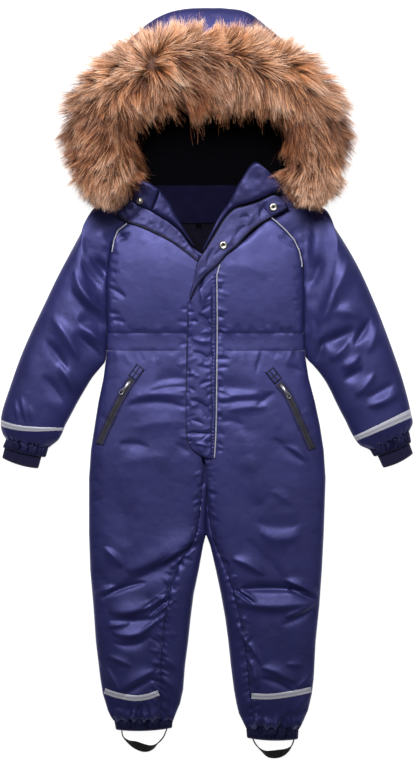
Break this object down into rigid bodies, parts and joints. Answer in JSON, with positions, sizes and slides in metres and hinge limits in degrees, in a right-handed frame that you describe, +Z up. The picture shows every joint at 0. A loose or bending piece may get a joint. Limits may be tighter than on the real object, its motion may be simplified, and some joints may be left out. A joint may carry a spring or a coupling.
{
  "type": "toddler snowsuit",
  "caption": "Padded one-piece snowsuit with a fur-trimmed hood, turned-out storm flap, elastic cuffs and foot straps, laid flat on its back.",
  "frame": {"origin": "on the surface that the suit lies on, under the middle of its box, a little above the crotch", "axes": "+X to the viewer's right, which is the wearer's left, +Y from the feet to the hood, +Z up from the surface through the front of the suit"},
  "size_m": [0.6615, 1.203, 0.1386],
  "materials": {
    "nylon": "navy-indigo nylon taffeta with a satin shine",
    "lining": "dark blue lining, matt",
    "black_lining": "black soft lining, matt",
    "rib": "dark navy rib knit, matt",
    "fur": "long tan and rust-brown fur",
    "reflective": "light grey reflective tape, satin",
    "webbing": "black woven elastic, matt",
    "zip_tape": "dark grey zip tape with a closed coil",
    "metal": "dull nickel plate"
  },
  "bodies": {
    "root": {"chest_left": "nylon", "chest_right": "nylon", "front_waistband_left": "nylon", "front_waistband_right": "nylon", "front_leg_left": "nylon", "front_leg_right": "nylon", "inner_leg_left": "nylon", "inner_leg_right": "nylon", "back_upper": "nylon", "back_waistband": "nylon", "back_seat_left": "nylon", "back_seat_right": "nylon", "back_leg_left": "nylon", "back_leg_right": "nylon", "sleeve_left": "nylon", "sleeve_right": "nylon", "cuff_elastic_left": "nylon", "cuff_elastic_right": "nylon", "cuff_rib_left": "rib", "cuff_rib_right": "rib", "hem_elastic_left": "nylon", "hem_elastic_right": "nylon", "foot_strap_left": "webbing", "foot_strap_right": "webbing", "hood_left": "nylon", "hood_top": "nylon", "hood_right": "nylon", "hood_back": "nylon", "hood_lining_wall": "black_lining", "hood_lining_back": "black_lining", "fur_trim": "fur", "collar_band": "nylon", "collar_inner": "nylon", "chin_left": "nylon", "chin_right": "nylon", "flap_turned": "nylon", "placket": "nylon", "neck_facing": "nylon", "back_lining": "lining", "neck_label": "black_lining", "piping_raglan_left": "reflective", "piping_raglan_right": "reflective", "piping_placket": "reflective", "sleeve_tape_left": "reflective", "sleeve_tape_right": "reflective", "leg_tape_left": "reflective", "leg_tape_right": "reflective", "pocket_zip_left": "zip_tape", "pocket_zip_right": "zip_tape", "zip_garage_left": "nylon", "zip_garage_right": "nylon", "zip_pull_left": "metal", "zip_pull_right": "metal", "snap_socket_lower": "metal", "snap_socket_upper": "metal", "snap_stud": "metal"}
  },
  "joints": []
}
